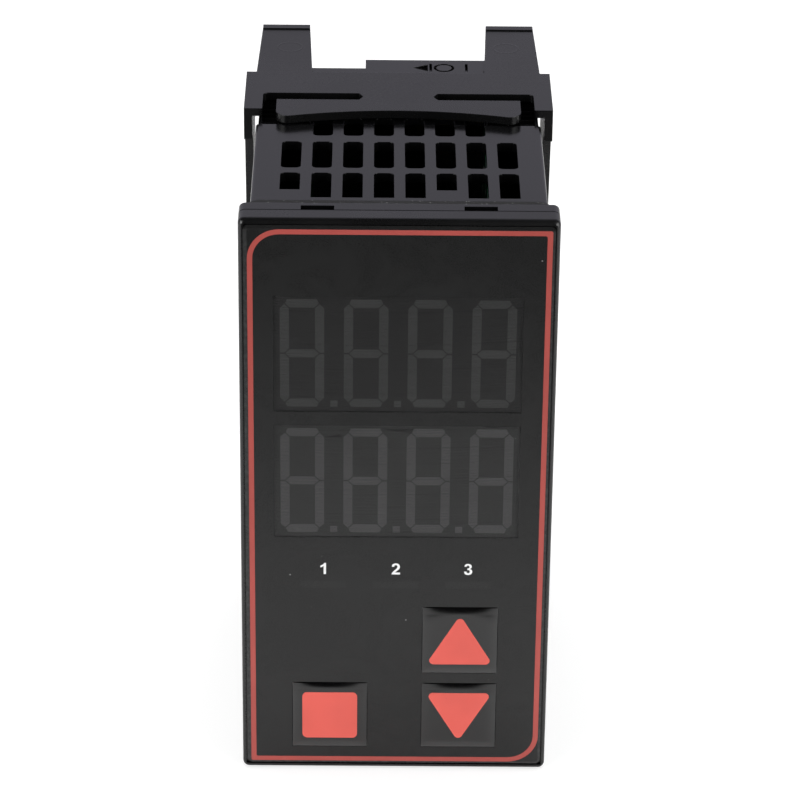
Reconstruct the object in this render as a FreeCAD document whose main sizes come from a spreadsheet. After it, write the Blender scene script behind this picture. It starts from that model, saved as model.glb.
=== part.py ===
import FreeCAD, Part
import math
import os
import re
import Sketcher
from FreeCAD import Placement, Rotation, Vector

# Panel-mounted temperature controller with a 48 x 96 mm front: a bezel with display film and three
# keys, a withdrawable chassis of circuit boards, a vented case with rear terminals, and a sliding
# mounting clamp. Millimetres. The origin is the centre of the gasket face that seats on the panel;
# -Y points out of the front, +Y into the panel and +Z up.

SIZES = {
    # front bezel, film and border
    "front_width": 48.0,
    "front_height": 96.0,
    "front_corner": 1.0,
    "front_edge_round": 0.9,
    "bezel_depth": 3.6,
    "bezel_plate": 1.4,
    "bezel_rim": 2.0,
    "film_recess": 0.55,
    "film_thick": 0.4,
    "film_side_margin": 0.75,
    "film_end_margin": 1.0,
    "film_corner": 0.8,
    "film_gap": 0.2,
    "print_thick": 0.15,
    "border_inset": 0.5,
    "border_shift": 0.1,
    "border_drop": 0.2,
    "border_line": 0.8,
    "border_round": 4.8,
    "border_tight_round": 0.3,
    # displays and indicators
    "display_side_margin": 5.2,
    "display_height": 19.5,
    "display_top_drop": 22.4,
    "display_spacing": 21.8,
    "window_gap": 0.1,
    "digit_width": 6.7,
    "digit_height": 18.1,
    "digit_side_margin": 0.975,
    "digit_bar": 1.4,
    "digit_bar_gap": 0.22,
    "digit_bar_corner": 0.3,
    "digit_dot": 1.1,
    "digit_depth": 0.4,
    "lamp_width": 6.7,
    "lamp_height": 1.1,
    "lamp_pitch": 11.25,
    "lamp_drop": 18.05,
    "lamp_lens_depth": 4.5,
    "lamp_chip_width": 3.2,
    "lamp_chip_height": 1.6,
    # keys and their switches
    "key_width": 11.6,
    "key_height": 11.2,
    "key_corner": 0.5,
    "key_edge_round": 0.3,
    "key_proud": 0.35,
    "key_gap": 0.12,
    "key_neck_width": 8.4,
    "key_neck_height": 8.0,
    "key_float": 0.1,
    "key_right_inset": 13.85,
    "key_left_inset": 13.8,
    "key_bottom_rise": 10.0,
    "key_spacing": 13.7,
    "key_collar": 0.6,
    "key_collar_thick": 0.8,
    "key_stem_radius": 1.5,
    "key_travel": 0.3,
    "arrow_width": 10.5,
    "arrow_height": 8.95,
    "arrow_round": 0.68,
    "arrow_shift": 0.27,
    "square_width": 8.65,
    "square_height": 8.4,
    "square_round": 0.8,
    "switch_side": 6.0,
    "switch_height": 3.5,
    "plunger_radius": 1.7,
    "plunger_proud": 0.5,
    "plunger_inside": 1.6,
    "plunger_gap": 0.1,
    # case
    "flange_side_lip": 1.5,
    "flange_end_lip": 2.3,
    "case_wall": 1.5,
    "case_edge_round": 0.5,
    "flange_thick": 2.35,
    "ratchet_start": 33.8,
    "ratchet_drop": 0.5,
    "ratchet_side_drop": 0.3,
    "rear_wall": 1.5,
    "rear_face": 58.4,
    "shroud_height": 3.7,
    "shroud_edge_x": -5.3,
    "notch_side_inset": 11.8,
    "notch_width": 5.0,
    "notch_length": 1.44,
    "notch_depth": 1.8,
    "vent_width": 3.1,
    "vent_side_inset": 4.235,
    "vent_shift_x": 0.12,
    "vent_round": 0.8,
    "vent_front": 5.8,
    "vent_short_step": 2.9,
    "vent_long": 9.2,
    "vent_gap": 1.9,
    "vent_middle_long": 10.1,
    "vent_rear_gap": 2.4,
    "vent_rear_long": 8.0,
    "tooth_pitch": 1.7,
    "tooth_depth": 0.6,
    "tooth_side_inset": 0.5,
    "tooth_width": 7.7,
    "mark_depth": 0.6,
    "mark_setback": 3.3,
    "mark_size": 1.7,
    "mark_bar": 0.45,
    "mark_arrow_x": 4.05,
    "mark_ring_x": 7.53,
    "mark_bar_left_x": 5.35,
    "mark_bar_right_x": 11.2,
    # gasket
    "gasket_thick": 1.4,
    "gasket_inset": 0.15,
    "gasket_corner": 3.0,
    "gasket_gap": 0.15,
    # latch tabs and boards
    "tab_thick": 1.2,
    "tab_gap": 0.15,
    "tab_end": 1.0,
    "board_thick": 1.6,
    "board_gap": 0.2,
    "front_board_front": -0.3,
    "side_board_inset": 6.65,
    "side_board_end_gap": 0.7,
    "side_board_gap": 0.4,
    "guide_length": 11.5,
    "guide_end_gap": 0.2,
    "guide_wall": 0.9,
    "guide_height": 1.6,
    "boss_top_side_inset": 3.8,
    "boss_bottom_side_inset": 2.4,
    "boss_top_inset": 5.0,
    "boss_bottom_inset": 3.6,
    "boss_radius": 2.0,
    "board_screw_radius": 0.9,
    "board_screw_length": 5.0,
    "board_screw_head_radius": 1.9,
    "board_screw_head": 1.3,
    "screw_gap": 0.1,
    "header_width": 2.5,
    "header_height": 30.0,
    # parts on the boards
    "relay_tall": 12.0,
    "relay_long": 19.0,
    "relay_wide": 10.0,
    "relay_pitch": 12.0,
    "relay_front": 26.0,
    "relay_first_rise": 10.2,
    "core_tall": 12.0,
    "core_long": 17.0,
    "core_wide": 14.0,
    "core_leg": 4.0,
    "core_front": 25.0,
    "core_drop": 26.2,
    "winding_wide": 20.0,
    "winding_gap": 0.15,
    "bulk_capacitor_radius": 5.0,
    "bulk_capacitor_tall": 12.0,
    "bulk_capacitor_y": 14.0,
    "bulk_capacitor_drop": 10.2,
    "filter_capacitor_radius": 3.2,
    "filter_capacitor_tall": 9.0,
    "filter_capacitor_y": 14.0,
    "filter_capacitor_drop": 26.2,
    "processor_side": 10.0,
    "processor_thick": 1.4,
    "processor_front": 18.0,
    "processor_drop": 32.2,
    "converter_long": 7.5,
    "converter_wide": 5.0,
    "converter_front": 36.0,
    "converter_rise": 32.2,
    # rear terminals
    "terminal_side_gap": 0.2,
    "terminal_pitch": 8.6,
    "terminal_width": 13.0,
    "terminal_depth": 10.0,
    "terminal_rib": 1.0,
    "terminal_shoulder": 1.0,
    "terminal_gap": 0.1,
    "bay_depth": 4.8,
    "contact_thick": 0.8,
    "contact_width": 6.4,
    "contact_long": 9.6,
    "leaf_thick": 0.5,
    "leaf_width": 2.6,
    "leaf_reach": 3.6,
    "leaf_gap": 0.2,
    "washer_side": 6.0,
    "washer_thick": 0.8,
    "screw_radius": 1.4,
    "screw_length": 5.0,
    "screw_head_radius": 2.6,
    "screw_head_height": 1.7,
    "screw_slot_width": 0.8,
    "screw_slot_depth": 0.9,
    # mounting clamp
    "clamp_wall": 1.3,
    "clamp_gap_side": 0.7,
    "clamp_gap_top": 0.2,
    "clamp_front": 36.5,
    "clamp_length": 15.3,
    "tongue_reach": 2.85,
    "tongue_side_inset": 5.13,
    "tongue_tip_round": 2.0,
    "tongue_front_radius": 65.2,
    "slot_setback": 3.9,
    "slot_width": 2.6,
    "slot_neck": 5.6,
    "slot_point": 0.65,
    "slot_side_inset": 2.9,
    "slot_outer_round": 0.9,
    "arm_side_inset": 1.6,
    "arm_width": 9.0,
    "arm_end_side_inset": 2.1,
    "arm_end_width": 7.8,
    "arm_length": 20.1,
    "arm_lip": 1.6,
    "arm_lip_height": 0.2,
    "pawl_setback": 4.6,
    "pawl_reach": 0.6,
    "side_edge_setback": 4.0,
    "side_edge_step": 4.0,
    "side_arc_radius": 176.0,
}

DISPLAY_DIGITS = 4
LAMPS = 3
VENT_COLUMNS = 8
SHORT_VENT_COLUMNS = (0, 5)
REAR_VENT_COLUMNS = range(1, 7)
PAWL_TEETH = 2
TERMINAL_WAYS = 8
RELAYS = 3
SIDES = {"left": -1, "right": 1}

# places and sizes that follow from the driving ones
DERIVED = {
    # stations along Y, front to back
    "flange_back": "-gasket_thick",
    "joint_line": "flange_back - flange_thick",
    "bezel_front": "joint_line - bezel_depth",
    "film_back": "bezel_front + film_recess",
    "film_front": "film_back - film_thick",
    "pad_front": "film_front - key_proud",
    "plate_back": "film_back + bezel_plate",
    "collar_back": "plate_back + key_collar_thick",
    "switch_front": "front_board_front - switch_height",
    "plunger_front": "switch_front - plunger_proud",
    "front_board_back": "front_board_front + board_thick",
    "rear_inside": "rear_face - rear_wall",
    "terminal_back": "rear_face + shroud_height",
    "terminal_front": "terminal_back - terminal_depth",
    "bay_floor": "terminal_back - bay_depth",
    "side_board_end": "terminal_front - side_board_end_gap",
    "guide_end": "terminal_front - guide_end_gap",
    # front
    "film_width": "front_width - 2 * film_side_margin",
    "film_height": "front_height - 2 * film_end_margin",
    "border_width": "film_width - 2 * border_inset",
    "border_height": "film_height - 2 * border_inset",
    "display_width": "front_width - 2 * display_side_margin",
    "display_upper_z": "front_height / 2 - display_top_drop",
    "display_lower_z": "display_upper_z - display_spacing",
    "digit_pitch": f"(display_width - 2 * digit_side_margin - digit_width) / {DISPLAY_DIGITS - 1}",
    "lamp_z": "display_lower_z - lamp_drop",
    "key_right_x": "front_width / 2 - key_right_inset",
    "key_left_x": "key_left_inset - front_width / 2",
    "key_bottom_z": "key_bottom_rise - front_height / 2",
    "key_top_z": "key_bottom_z + key_spacing",
    # case
    "case_width": "front_width - 2 * flange_side_lip",
    "case_height": "front_height - 2 * flange_end_lip",
    "inner_width": "case_width - 2 * case_wall",
    "inner_height": "case_height - 2 * case_wall",
    "rear_width": "case_width - 2 * ratchet_side_drop",
    "rear_height": "case_height - 2 * ratchet_drop",
    "notch_x": "front_width / 2 - notch_side_inset",
    "vent_pitch": f"(inner_width - 2 * vent_side_inset) / {VENT_COLUMNS - 1}",
    "tooth_outer_x": "rear_width / 2 - tooth_side_inset",
    "tooth_inner_x": "tooth_outer_x - tooth_width",
    "mark_y": "terminal_back - mark_setback",
    # inside
    "side_board_x": "inner_width / 2 - side_board_inset",
    "boss_top_x": "inner_width / 2 - boss_top_side_inset",
    "boss_bottom_x": "inner_width / 2 - boss_bottom_side_inset",
    "boss_top_z": "inner_height / 2 - boss_top_inset",
    "boss_bottom_z": "boss_bottom_inset - inner_height / 2",
    "relay_first_z": "relay_first_rise - inner_height / 2",
    "core_z": "inner_height / 2 - core_drop",
    "bulk_capacitor_z": "inner_height / 2 - bulk_capacitor_drop",
    "filter_capacitor_z": "inner_height / 2 - filter_capacitor_drop",
    "processor_z": "inner_height / 2 - processor_drop",
    "converter_z": "converter_rise - inner_height / 2",
    "terminal_x": "inner_width / 2 - terminal_side_gap - terminal_shoulder - terminal_width / 2",
    "terminal_height": f"{TERMINAL_WAYS} * terminal_pitch + terminal_rib",
    # mounting clamp
    "clamp_bore_width": "case_width + 2 * clamp_gap_side",
    "clamp_bore_height": "case_height + 2 * clamp_gap_top",
    "clamp_half": "clamp_bore_width / 2 + clamp_wall",
    "clamp_back": "clamp_front + clamp_length",
    "tongue_tip": "clamp_front - tongue_reach",
    "tongue_half": "clamp_half - tongue_side_inset",
    "slot_front": "clamp_front + slot_setback",
    "slot_back": "slot_front + slot_width",
    "slot_outer": "clamp_half - slot_side_inset",
    "arm_outer": "clamp_half - arm_side_inset",
    "arm_inner": "arm_outer - arm_width",
    "arm_outer_end": "clamp_half - arm_end_side_inset",
    "arm_inner_end": "arm_outer_end - arm_end_width",
    "arm_end": "clamp_back + arm_length",
    "pawl_front": "arm_end - pawl_setback",
}

doc = FreeCAD.newDocument("temperature_controller")
sheet = doc.addObject("Spreadsheet::Sheet", "Sizes")
for row, (alias, value) in enumerate(SIZES.items(), start=1):
    sheet.set(f"A{row}", alias)
    sheet.set(f"B{row}", str(value))
    sheet.setAlias(f"B{row}", alias)
doc.recompute()

ALONG_Y = Rotation(Vector(1, 0, 0), -90)
ALONG_X = Rotation(Vector(0, 1, 0), 90)


def sized(text):
    """The expression with derived values written out and each size as its spreadsheet cell."""

    def written(word):
        name = word.group()
        return f"({sized(DERIVED[name])})" if name in DERIVED else "Sizes." + name

    return re.sub(r"[a-z_]{3,}", written, str(text))


def bind(item, prop, text):
    item.setExpression(prop, sized(text))


def number(text):
    """The value of an expression of the sizes."""
    return float(sheet.evalExpression(sized(text)))


def place(item, x, y, z):
    for axis, text in zip("xyz", (x, y, z)):
        bind(item, f"Placement.Base.{axis}", text)


def block(name, x, y, z):
    """A box: x and z give a centre and a width, y gives the front and a depth."""
    box = doc.addObject("Part::Box", name)
    for prop, (_, width) in zip(("Length", "Width", "Height"), (x, y, z)):
        bind(box, prop, width)
    place(box, f"({x[0]}) - ({x[1]}) / 2", y[0], f"({z[0]}) - ({z[1]}) / 2")
    return box


def rod(name, radius, length, at, turn=ALONG_Y):
    """A cylinder that starts at a point and runs along Y, or along X with the other turn."""
    cylinder = doc.addObject("Part::Cylinder", name)
    cylinder.Placement = Placement(Vector(), turn)
    bind(cylinder, "Radius", radius)
    bind(cylinder, "Height", length)
    place(cylinder, *at)
    return cylinder


def join(name, parts):
    union = doc.addObject("Part::MultiFuse", name)
    union.Shapes = parts
    union.Refine = True
    return union


def group(name, parts):
    """Separate solids that share one node."""
    compound = doc.addObject("Part::Compound", name)
    compound.Links = parts
    return compound


def cut(name, base, tools):
    """The base less the tools, which have to meet it."""
    tool = tools[0] if len(tools) == 1 else group(f"{name}_tools", tools)
    result = doc.addObject("Part::Cut", name)
    result.Base = base
    result.Tool = tool
    doc.recompute()
    if result.Shape.isNull() or result.Shape.Volume > base.Shape.Volume - 1e-6:
        raise RuntimeError(f"{name}: the cut removes nothing")
    return result


def body(name):
    return doc.addObject("PartDesign::Body", name)


def sketch_on(owner, name, role, at):
    """An empty sketch on an origin plane of the body, moved by at: right, up and out of the plane."""
    plane = next(item for item in owner.Origin.OriginFeatures if item.Role == role)
    sketch = owner.newObject("Sketcher::SketchObject", name)
    sketch.AttachmentSupport = [(plane, "")]
    sketch.MapMode = "FlatFace"
    for axis, text in zip("xyz", at):
        bind(sketch, f"AttachmentOffset.Base.{axis}", text)
    return sketch


def measure(sketch, kind, points, name, text):
    """A named distance or radius of the sketch, bound to an expression."""
    value = number(text)
    index = sketch.addConstraint(Sketcher.Constraint(kind, *points, value))
    sketch.renameConstraint(index, name)
    bind(sketch, f"Constraints.{name}", text)


def rectangle(owner, name, width, height, at, role="XZ_Plane"):
    """A rectangle centred on its sketch's origin."""
    sketch = sketch_on(owner, name, role, at)
    half_w = number(width) / 2
    half_h = number(height) / 2
    corners = [(-half_w, -half_h), (half_w, -half_h), (half_w, half_h), (-half_w, half_h)]
    for start, end in zip(corners, corners[1:] + corners[:1]):
        sketch.addGeometry(Part.LineSegment(Vector(*start, 0), Vector(*end, 0)), False)
    for line in range(4):
        sketch.addConstraint(Sketcher.Constraint("Coincident", line, 2, (line + 1) % 4, 1))
        flat = "Horizontal" if line % 2 == 0 else "Vertical"
        sketch.addConstraint(Sketcher.Constraint(flat, line))
    sketch.addConstraint(Sketcher.Constraint("Symmetric", 0, 1, 2, 1, -1, 1))
    measure(sketch, "DistanceX", (0, 1, 0, 2), "wide", width)
    measure(sketch, "DistanceY", (1, 1, 1, 2), "high", height)
    return sketch


def outline(owner, name, points, at, role="XY_Plane", arcs=()):
    """A closed outline through points, each a pair of expressions.

    arcs maps the index of a side to the radius of the arc that it is, which bulges towards the
    right of its direction, or to the left where the radius has a minus sign.
    """
    sketch = sketch_on(owner, name, role, at)
    arcs = dict(arcs)
    corners = [Vector(number(x), number(y), 0) for x, y in points]
    count = len(corners)
    ends = {}
    for side in range(count):
        start = corners[side]
        end = corners[(side + 1) % count]
        if side not in arcs:
            sketch.addGeometry(Part.LineSegment(start, end), False)
            ends[side] = (1, 2)
            continue
        radius = number(arcs[side])
        chord = end - start
        left = Vector(-chord.y, chord.x, 0).normalize()
        reach = (radius**2 - (chord.Length / 2) ** 2) ** 0.5
        centre = (start + end) / 2 + left * (reach if radius > 0 else -reach)
        first, last = (start, end) if radius > 0 else (end, start)
        from_angle = math.atan2(first.y - centre.y, first.x - centre.x)
        to_angle = math.atan2(last.y - centre.y, last.x - centre.x)
        if to_angle < from_angle:
            to_angle += 2 * math.pi
        circle = Part.Circle(centre, Vector(0, 0, 1), abs(radius))
        sketch.addGeometry(Part.ArcOfCircle(circle, from_angle, to_angle), False)
        ends[side] = (1, 2) if radius > 0 else (2, 1)
    for side in range(count):
        after = (side + 1) % count
        joint = (side, ends[side][1], after, ends[after][0])
        sketch.addConstraint(Sketcher.Constraint("Coincident", *joint))
    for side, (x, y) in enumerate(points):
        measure(sketch, "DistanceX", (-1, 1, side, ends[side][0]), f"x{side}", x)
        measure(sketch, "DistanceY", (-1, 1, side, ends[side][0]), f"y{side}", y)
        if side in arcs:
            measure(sketch, "Radius", (side,), f"r{side}", arcs[side].lstrip("-"))
    return sketch


def pad(owner, sketch, length, back=False, both=False):
    """Material along the sketch's normal, or against it with back, or centred with both."""
    feature = owner.newObject("PartDesign::Pad", sketch.Name + "_pad")
    feature.Profile = sketch
    bind(feature, "Length", length)
    feature.Reversed = back
    feature.Midplane = both
    doc.recompute()
    return feature


def pocket(owner, sketch, length, back=False, both=False):
    """Removes material against the sketch's normal, or along it with back."""
    before = owner.Shape.Volume
    feature = owner.newObject("PartDesign::Pocket", sketch.Name + "_pocket")
    feature.Profile = sketch
    bind(feature, "Length", length)
    feature.Reversed = back
    feature.Midplane = both
    doc.recompute()
    if owner.Shape.Volume > before - 1e-6:
        raise RuntimeError(f"{feature.Name}: the pocket removes nothing")
    return feature


def fillet(owner, name, radius, chosen):
    """Rounds the edges of the body's tip that chosen picks."""
    tip = owner.Tip
    edges = [f"Edge{i}" for i, edge in enumerate(tip.Shape.Edges, start=1) if chosen(edge)]
    if not edges:
        raise RuntimeError(f"{name}: no edge to round")
    feature = owner.newObject("PartDesign::Fillet", name)
    feature.Base = (tip, edges)
    bind(feature, "Radius", radius)
    doc.recompute()
    return feature


def runs_along(edge, axis):
    """Whether an edge is straight and parallel to an axis."""
    if edge.Curve.TypeId != "Part::GeomLine":
        return False
    return abs(abs(edge.Curve.Direction.dot(axis)) - 1) < 1e-6


def along_y(edge):
    return runs_along(edge, Vector(0, 1, 0))


def along_z(edge):
    return runs_along(edge, Vector(0, 0, 1))


def slab(owner, name, width, height, front, depth, x="0", z="0"):
    """A rectangular pad that faces the front."""
    return pad(owner, rectangle(owner, name, width, height, (x, z, f"-({front})")), depth, back=True)


def well(owner, name, width, height, front, depth, x="0", z="0"):
    """A rectangular pocket that starts at a station and runs towards the back."""
    return pocket(owner, rectangle(owner, name, width, height, (x, z, f"-({front})")), depth)


def mirrored(name, source, normal):
    """A copy on the other side of an origin plane."""
    copy = doc.addObject("Part::Mirroring", name)
    copy.Source = source
    copy.Normal = normal
    return copy


def case_shell():
    """The case's walls, flange and rear wall as one moulding, without its vents and teeth."""
    shell = body("case_shell")
    slab(shell, "flange", "front_width", "front_height", "joint_line", "flange_thick")
    fillet(shell, "flange_corners", "front_corner", along_y)
    front_depth = "ratchet_start - flange_back"
    slab(shell, "front_tube", "case_width", "case_height", "flange_back", front_depth)
    fillet(
        shell,
        "front_tube_edges",
        "case_edge_round",
        lambda edge: along_y(edge) and edge.CenterOfMass.y > number("flange_back"),
    )
    rear_depth = "terminal_back - ratchet_start"
    slab(shell, "rear_tube", "rear_width", "rear_height", "ratchet_start", rear_depth)
    fillet(
        shell,
        "rear_tube_edges",
        "case_edge_round",
        lambda edge: along_y(edge) and edge.CenterOfMass.y > number("ratchet_start"),
    )
    well(shell, "inside", "inner_width", "inner_height", "joint_line", "rear_inside - joint_line")
    open_side = "(case_width / 2 + shroud_edge_x)"
    well(
        shell,
        "open_corner",
        open_side,
        "case_height",
        "rear_face",
        "shroud_height",
        x=f"-case_width / 2 + {open_side} / 2",
    )
    shroud_inside = "(inner_width / 2 - shroud_edge_x)"
    well(
        shell,
        "shroud_inside",
        shroud_inside,
        "inner_height",
        "rear_face",
        "shroud_height",
        x=f"shroud_edge_x + {shroud_inside} / 2",
    )
    for side, sign in SIDES.items():
        well(
            shell,
            f"terminal_window_{side}",
            "terminal_width + 2 * terminal_gap",
            "terminal_height + 2 * terminal_gap",
            "rear_inside",
            "rear_wall",
            x=f"{sign} * terminal_x",
        )
    return shell


def vent_cutter(column, front, long, name, square_front):
    """One slot through the top and bottom walls, with round corners at its rear end."""
    x = f"vent_shift_x + {column - (VENT_COLUMNS - 1) / 2} * vent_pitch"
    slot = block(name, (x, "vent_width"), (front, long), ("0", "case_height + 2 * case_wall"))
    doc.recompute()
    middle = number(front) + number(long) / 2
    radius = number("vent_round")
    rounded = []
    for index, edge in enumerate(slot.Shape.Edges, start=1):
        if along_z(edge) and (edge.CenterOfMass.y > middle or not square_front):
            rounded.append((index, radius, radius))
    corners = doc.addObject("Part::Fillet", name + "_round")
    corners.Base = slot
    corners.Edges = rounded
    return corners


def vents():
    """Three rows of slots; the first row has two short ones and the last leaves out its ends."""
    row_two = "(vent_front + vent_long + vent_gap)"
    row_three = f"({row_two} + vent_middle_long + vent_rear_gap)"
    cutters = []
    for column in range(VENT_COLUMNS):
        step = "vent_short_step" if column in SHORT_VENT_COLUMNS else "0"
        front = f"vent_front + {step}"
        long = f"vent_long - {step}"
        cutters.append(vent_cutter(column, front, long, f"vent_front_{column}", True))
        cutters.append(vent_cutter(column, row_two, "vent_middle_long", f"vent_middle_{column}", False))
    for column in REAR_VENT_COLUMNS:
        cutters.append(vent_cutter(column, row_three, "vent_rear_long", f"vent_rear_{column}", False))
    return cutters


def tooth(name, y, level, depth, inner):
    """A three-sided bar along X: its steep face is to the rear, and it runs out towards the front."""
    bar = doc.addObject("Part::Wedge", name)
    bar.Placement = Placement(Vector(), Rotation(Vector(0, 0, 1), 180))
    for prop, text in (
        ("Xmin", "-tooth_outer_x"),
        ("Xmax", f"-{inner}"),
        ("X2min", "-tooth_outer_x"),
        ("X2max", f"-{inner}"),
        ("Ymin", "0"),
        ("Ymax", "tooth_pitch"),
        ("Zmin", f"{level} - {depth}"),
        ("Zmax", level),
        ("Z2min", level),
        ("Z2max", level),
    ):
        bind(bar, prop, text)
    bind(bar, "Placement.Base.y", y)
    return bar


def ratchet_cutters():
    """The saw-tooth grooves in four strips, on both sides of the top and of the bottom."""
    grooves = []
    teeth = math.floor(number("(rear_face - ratchet_start) / tooth_pitch"))
    for index in range(teeth):
        y = f"ratchet_start + {index + 1} * tooth_pitch"
        grooves.append(tooth(f"groove_{index}", y, "rear_height / 2", "tooth_depth", "tooth_inner_x"))
    strip = group("ratchet_right", grooves)
    top = group("ratchet_top", [strip, mirrored("ratchet_left", strip, Vector(1, 0, 0))])
    return [top, mirrored("ratchet_bottom", top, Vector(0, 0, 1))]


def notch_cutters():
    """The screwdriver notches that reach the bezel's latch tabs, at the flange's front edge."""
    cutters = []
    for side, sign in SIDES.items():
        for level, up in (("top", 1), ("bottom", -1)):
            cutters.append(
                block(
                    f"notch_{level}_{side}",
                    (f"{sign} * notch_x", "notch_width"),
                    ("joint_line", "notch_length"),
                    (f"{up} * (front_height - notch_depth) / 2", "notch_depth"),
                )
            )
    return cutters


def guides():
    """Ribs inside the case that hold the side boards' long edges."""
    ribs = []
    offset = "(board_thick + guide_wall) / 2 + board_gap"
    for side, sign in SIDES.items():
        for level, up in (("top", 1), ("bottom", -1)):
            for face in (-1, 1):
                ribs.append(
                    block(
                        f"guide_{level}_{side}_{'in' if face < 0 else 'out'}",
                        (f"{sign} * side_board_x + {face} * ({offset})", "guide_wall"),
                        ("guide_end - guide_length", "guide_length"),
                        (f"{up} * (inner_height - guide_height) / 2", "guide_height"),
                    )
                )
    return ribs


def mark_cutters():
    """Sunk marks on the top by the rear edge: an arrow, a bar, a ring and another bar."""
    floor = "rear_height / 2 - mark_depth"
    arrow = doc.addObject("Part::Prism", "mark_arrow")
    arrow.Placement = Placement(Vector(), Rotation(Vector(0, 0, 1), 180))
    arrow.Polygon = 3
    bind(arrow, "Circumradius", "mark_size")
    bind(arrow, "Height", "mark_depth")
    place(arrow, "mark_arrow_x", "mark_y", floor)
    middle = ("mark_ring_x", "mark_y", floor)
    ring = rod("mark_ring_outside", "mark_size", "mark_depth", middle, Rotation())
    core = rod("mark_ring_inside", "mark_size - mark_bar", "mark_depth", middle, Rotation())
    bars = []
    for name in ("left", "right"):
        bars.append(
            block(
                f"mark_bar_{name}",
                (f"mark_bar_{name}_x", "mark_bar"),
                ("mark_y - mark_size", "2 * mark_size"),
                (f"{floor} + mark_depth / 2", "mark_depth"),
            )
        )
    return [arrow, cut("mark_ring", ring, [core]), *bars]


def case_sleeve():
    cutters = vents() + ratchet_cutters() + notch_cutters() + mark_cutters()
    pierced = cut("case_pierced", case_shell(), cutters)
    return join("case_sleeve", [pierced, *guides()])


def panel_gasket():
    """The rubber ring between the flange and the panel."""
    gasket = body("panel_gasket")
    slab(
        gasket,
        "gasket_outside",
        "front_width - 2 * gasket_inset",
        "front_height - 2 * gasket_inset",
        "flange_back",
        "gasket_thick",
    )
    fillet(gasket, "gasket_corners", "gasket_corner", along_y)
    well(
        gasket,
        "gasket_inside",
        "case_width + 2 * gasket_gap",
        "case_height + 2 * gasket_gap",
        "flange_back",
        "gasket_thick",
    )
    return gasket


# keys: name, centre and symbol
KEYS = {
    "up": ("key_right_x", "key_top_z"),
    "down": ("key_right_x", "key_bottom_z"),
    "set": ("key_left_x", "key_bottom_z"),
}
DISPLAYS = {"upper": "display_upper_z", "lower": "display_lower_z"}
BOSSES = {
    "top_left": ("-boss_top_x", "boss_top_z"),
    "top_right": ("boss_top_x", "boss_top_z"),
    "bottom_left": ("-boss_bottom_x", "boss_bottom_z"),
    "bottom_right": ("boss_bottom_x", "boss_bottom_z"),
}


def bezel_frame():
    """The front moulding: a plate with windows, a rim, four latch tabs and four screw bosses."""
    bezel = body("bezel_body")
    slab(bezel, "bezel_block", "front_width", "front_height", "bezel_front", "bezel_depth")
    fillet(bezel, "bezel_corners", "front_corner", along_y)
    front = number("bezel_front")
    fillet(
        bezel,
        "bezel_front_edge",
        "front_edge_round",
        lambda edge: abs(edge.BoundBox.YMin - front) < 1e-6 and abs(edge.BoundBox.YMax - front) < 1e-6,
    )
    well(
        bezel,
        "film_seat",
        "film_width + 2 * film_gap",
        "film_height + 2 * film_gap",
        "bezel_front",
        "film_recess",
    )
    well(
        bezel,
        "bezel_hollow",
        "front_width - 2 * bezel_rim",
        "front_height - 2 * bezel_rim",
        "plate_back",
        "joint_line - plate_back",
    )
    for name, z in DISPLAYS.items():
        well(
            bezel,
            f"display_window_{name}",
            "display_width + 2 * window_gap",
            "display_height + 2 * window_gap",
            "film_back",
            "bezel_plate",
            z=z,
        )
    for index in range(LAMPS):
        well(
            bezel,
            f"lamp_window_{index + 1}",
            "lamp_width + 2 * window_gap",
            "lamp_height + 2 * window_gap",
            "film_back",
            "bezel_plate",
            x=f"{index - (LAMPS - 1) / 2} * lamp_pitch",
            z="lamp_z",
        )
    for name, (x, z) in KEYS.items():
        well(
            bezel,
            f"key_seat_{name}",
            "key_width + 2 * key_gap",
            "key_height + 2 * key_gap",
            "film_back",
            "key_travel + key_float",
            x=x,
            z=z,
        )
        well(
            bezel,
            f"key_window_{name}",
            "key_neck_width + 2 * key_gap",
            "key_neck_height + 2 * key_gap",
            "film_back",
            "bezel_plate",
            x=x,
            z=z,
        )
    tabs = []
    for side, sign in SIDES.items():
        for level, up in (("top", 1), ("bottom", -1)):
            tabs.append(
                block(
                    f"latch_tab_{level}_{side}",
                    (f"{sign} * notch_x", "notch_width"),
                    ("plate_back", "tab_end - plate_back"),
                    (f"{up} * (inner_height / 2 - tab_gap - tab_thick / 2)", "tab_thick"),
                )
            )
    bosses = []
    bores = []
    length = "front_board_front - plate_back"
    for name, (x, z) in BOSSES.items():
        bosses.append(rod(f"boss_{name}", "boss_radius", length, (x, "plate_back", z)))
        bores.append(
            rod(f"boss_bore_{name}", "board_screw_radius + screw_gap", length, (x, "plate_back", z))
        )
    solid = join("bezel_solid", [bezel, *tabs, *bosses])
    return cut("bezel_frame", solid, bores)


def border_plate(name, width, height, large, tight):
    """A plate with large corners at top left and bottom right and tight ones between."""
    plate = body(name)
    slab(
        plate,
        f"{name}_slab",
        width,
        height,
        "film_front",
        "print_thick",
        x="border_shift",
        z="-border_drop",
    )
    for radius, diagonal in ((large, -1), (tight, 1)):
        fillet(
            plate,
            f"{name}_{'tight' if diagonal > 0 else 'large'}",
            radius,
            lambda edge: along_y(edge) and is_corner(edge, width, height, diagonal),
        )
    return plate


def border_line():
    """The printed line round the film."""
    outside = border_plate(
        "border_outside",
        "border_width",
        "border_height",
        "border_round",
        "border_tight_round",
    )
    inside = border_plate(
        "border_inside",
        "(border_width - 2 * border_line)",
        "(border_height - 2 * border_line)",
        "border_round - border_line",
        "border_tight_round",
    )
    return cut("border_line", outside, [inside])


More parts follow.
